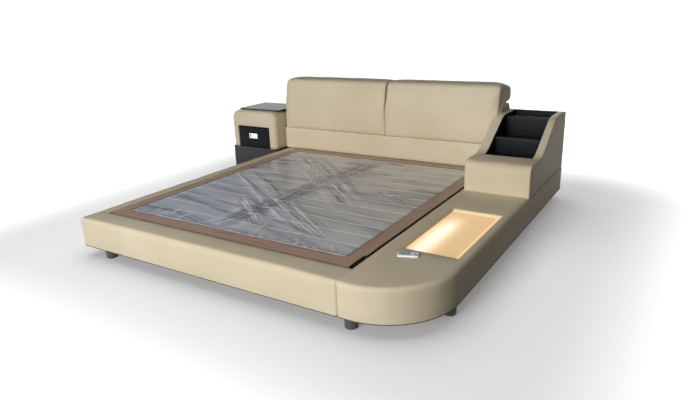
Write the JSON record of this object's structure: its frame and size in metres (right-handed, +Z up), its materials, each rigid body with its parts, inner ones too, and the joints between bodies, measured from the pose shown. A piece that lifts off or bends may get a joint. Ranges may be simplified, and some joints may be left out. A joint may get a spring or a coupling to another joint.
{
  "type": "upholstered platform bed",
  "caption": "Upholstered leather platform bed with lift-up slatted base, tilting headrests, lit side platform, open shelf unit and bedside drawer cabinet.",
  "frame": {"origin": "middle of the whole set's plan, on the floor", "axes": "+X towards the side platform, +Y towards the headboard, +Z up"},
  "size_m": [2.959, 2.5, 0.8977],
  "materials": {
    "beige_leather": "soft upholstery leather, fine grain, satin",
    "black_leather": "smooth black upholstery leather, satin",
    "pine": "planed softwood, unfinished",
    "brown_board": "brown wood-grain board, matt",
    "slat_wood": "bent plywood slat, clear lacquer",
    "black_board": "black laminated board, satin",
    "tray_enamel": "warm white powder coat",
    "steel": "zinc-plated steel",
    "black_steel": "black powder coat",
    "bright_metal": "polished chrome",
    "frosted_glass": "frosted, lit warm white from below",
    "black_plastic": "moulded, matt",
    "grey_plastic": "moulded, matt",
    "white_plastic": "moulded, gloss",
    "clear_film": "thin clear wrapping film, creased",
    "dark_glass": "tinted toughened glass, polished edge",
    "clear_rubber": "clear soft bumper",
    "lamp_board": "lit warm white lamp board"
  },
  "bodies": {
    "bed_frame": {"footboard_cover": "beige_leather", "footboard_core": "pine", "left_rail_cover": "beige_leather", "left_rail_core": "pine", "platform_cover": "beige_leather", "platform_core": "pine", "light_tray": "tray_enamel", "light_panel": "frosted_glass", "led_strip": "lamp_board", "led_driver": "white_plastic", "shelf_cover": "beige_leather", "shelf_carcass": "pine", "shelf_liner": "black_leather", "shelf_dividers": "black_leather", "headboard_frame": "pine", "headboard_base_band": "beige_leather", "left_back_pad": "beige_leather", "right_back_pad": "beige_leather", "headrest_lower_leaves": "steel", "headrest_hinge_pins": "steel", "head_crossrail": "pine", "lift_fixed_leaves": "steel", "lift_hinge_pins": "steel", "wall_battens": "pine", "storage_floor": "pine", "middle_board": "pine", "corner_plates": "steel", "strut_lower_brackets": "steel", "feet": "black_plastic", "nightstand_base": "black_board", "nightstand_arch": "beige_leather", "nightstand_carcass": "black_board", "glass_top": "dark_glass", "glass_bumpers": "clear_rubber", "drawer_runners": "steel", "tie_bolts": "steel", "remote_body": "white_plastic", "remote_keypad": "grey_plastic"},
    "slat_base": {"base_side_borders": "brown_board", "base_end_borders": "brown_board", "base_slats": "slat_wood", "slat_caps": "black_plastic", "base_spar": "pine", "dust_film": "clear_film", "lift_moving_leaves": "steel", "strut_upper_brackets": "steel"},
    "left_strut_barrel": {"left_strut_tube": "black_steel"},
    "left_strut_piston": {"left_strut_rod": "bright_metal"},
    "right_strut_barrel": {"right_strut_tube": "black_steel"},
    "right_strut_piston": {"right_strut_rod": "bright_metal"},
    "left_headrest": {"left_headrest_cushion": "beige_leather", "left_headrest_board": "pine", "left_headrest_leaves": "steel"},
    "right_headrest": {"right_headrest_cushion": "beige_leather", "right_headrest_board": "pine", "right_headrest_leaves": "steel"},
    "drawer": {"drawer_front": "black_leather", "drawer_box": "black_board", "drawer_pull": "bright_metal", "drawer_slides": "steel"}
  },
  "joints": [
    {"name": "base_lift", "type": "hinge", "parent": "bed_frame", "child": "slat_base", "pos_m": [0.0945, 0.91, 0.255], "axis": [-1, 0, 0], "range_deg": [0, 35]},
    {"name": "left_strut_swing", "type": "hinge", "parent": "bed_frame", "child": "left_strut_barrel", "pos_m": [-0.7675, 0, 0.14], "axis": [1, 0, 0], "range_deg": [0, 30.8]},
    {"name": "left_strut_slide", "type": "slide", "parent": "left_strut_barrel", "child": "left_strut_piston", "axis": [0, 0.9865, 0.1636], "range_m": [0, 0.1989]},
    {"name": "right_strut_swing", "type": "hinge", "parent": "bed_frame", "child": "right_strut_barrel", "pos_m": [0.9565, 0, 0.14], "axis": [1, 0, 0], "range_deg": [0, 30.8]},
    {"name": "right_strut_slide", "type": "slide", "parent": "right_strut_barrel", "child": "right_strut_piston", "axis": [0, 0.9865, 0.1636], "range_m": [0, 0.1989]},
    {"name": "left_headrest_tilt", "type": "hinge", "parent": "bed_frame", "child": "left_headrest", "pos_m": [-0.9455, 0.952, 0.756], "axis": [1, 0, 0], "range_deg": [0, 40]},
    {"name": "right_headrest_tilt", "type": "hinge", "parent": "bed_frame", "child": "right_headrest", "pos_m": [0.1035, 0.952, 0.756], "axis": [1, 0, 0], "range_deg": [0, 40]},
    {"name": "drawer_slide", "type": "slide", "parent": "bed_frame", "child": "drawer", "axis": [0, -1, 0], "range_m": [0, 0.28]}
  ],
  "couplings": [
    {"joint": "left_strut_swing", "follows": "base_lift", "ratio": 0.8785},
    {"joint": "left_strut_slide", "follows": "base_lift", "m_per_rad": 0.32484},
    {"joint": "right_strut_swing", "follows": "base_lift", "ratio": 0.8785},
    {"joint": "right_strut_slide", "follows": "base_lift", "m_per_rad": 0.32484}
  ]
}
